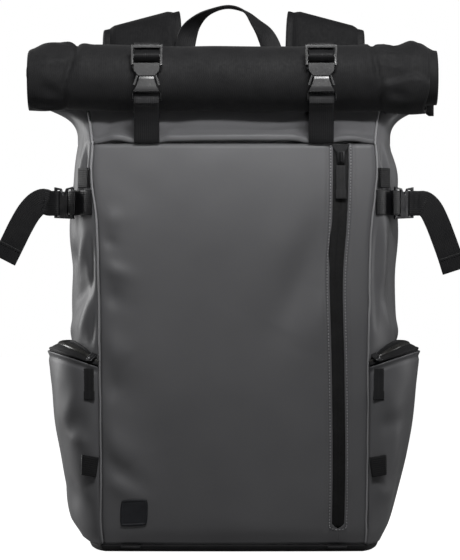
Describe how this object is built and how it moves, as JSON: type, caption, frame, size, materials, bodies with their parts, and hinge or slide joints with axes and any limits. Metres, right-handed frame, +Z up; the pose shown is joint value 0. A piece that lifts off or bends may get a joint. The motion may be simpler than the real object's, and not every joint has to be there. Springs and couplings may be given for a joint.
{
  "type": "rolltop backpack",
  "caption": "Boxy rolltop backpack of coated cloth, its rolled top held by two buckled straps, with a front zip, zipped side pockets, side straps, grab handle and padded shoulder straps.",
  "frame": {"origin": "middle of the flat underside of the base panel", "axes": "+Z up, -Y out of the front panel, +X towards the side with the front zip"},
  "size_m": [0.4575, 0.2092, 0.5343],
  "materials": {
    "coated_grey": "matte satin",
    "black_oxford": "matte",
    "black_webbing": "satin",
    "zip_tape": "satin",
    "black_plastic": "satin",
    "dark_metal": "polished",
    "dark_rubber": "matte"
  },
  "bodies": {
    "root": {"front_panel": "coated_grey", "back_panel": "black_oxford", "yoke_front": "coated_grey", "yoke_back": "coated_grey", "side_panel_left": "coated_grey", "side_panel_right": "coated_grey", "base_panel": "black_oxford", "roll_top": "black_oxford", "pocket_left": "coated_grey", "pocket_right": "coated_grey", "pocket_zip_left": "zip_tape", "pocket_zip_right": "zip_tape", "front_zip_tape": "zip_tape", "front_zip_slider": "dark_metal", "front_zip_puller": "black_webbing", "pocket_slider_left": "dark_metal", "pocket_slider_right": "dark_metal", "pocket_puller_left": "black_webbing", "pocket_puller_right": "black_webbing", "front_patch": "dark_rubber", "side_tab_left": "black_webbing", "side_tab_right": "black_webbing", "base_tab_left": "black_webbing", "base_tab_right": "black_webbing", "buckle_prongs_left": "black_plastic", "buckle_prongs_right": "black_plastic", "buckle_socket_left": "black_plastic", "buckle_socket_right": "black_plastic", "roll_strap_left": "black_webbing", "roll_strap_right": "black_webbing", "yoke_strap_left": "black_webbing", "yoke_strap_right": "black_webbing", "side_anchor_left": "black_webbing", "side_anchor_right": "black_webbing", "side_hook_left": "dark_metal", "side_hook_right": "dark_metal", "side_strap_left": "black_webbing", "side_strap_right": "black_webbing", "side_keeper_left": "black_webbing", "side_keeper_right": "black_webbing", "grab_handle": "black_webbing", "shoulder_strap_left": "black_oxford", "shoulder_strap_right": "black_oxford", "strap_adjuster_left": "black_plastic", "strap_adjuster_right": "black_plastic", "shoulder_web_left": "black_webbing", "shoulder_web_right": "black_webbing"}
  },
  "joints": []
}
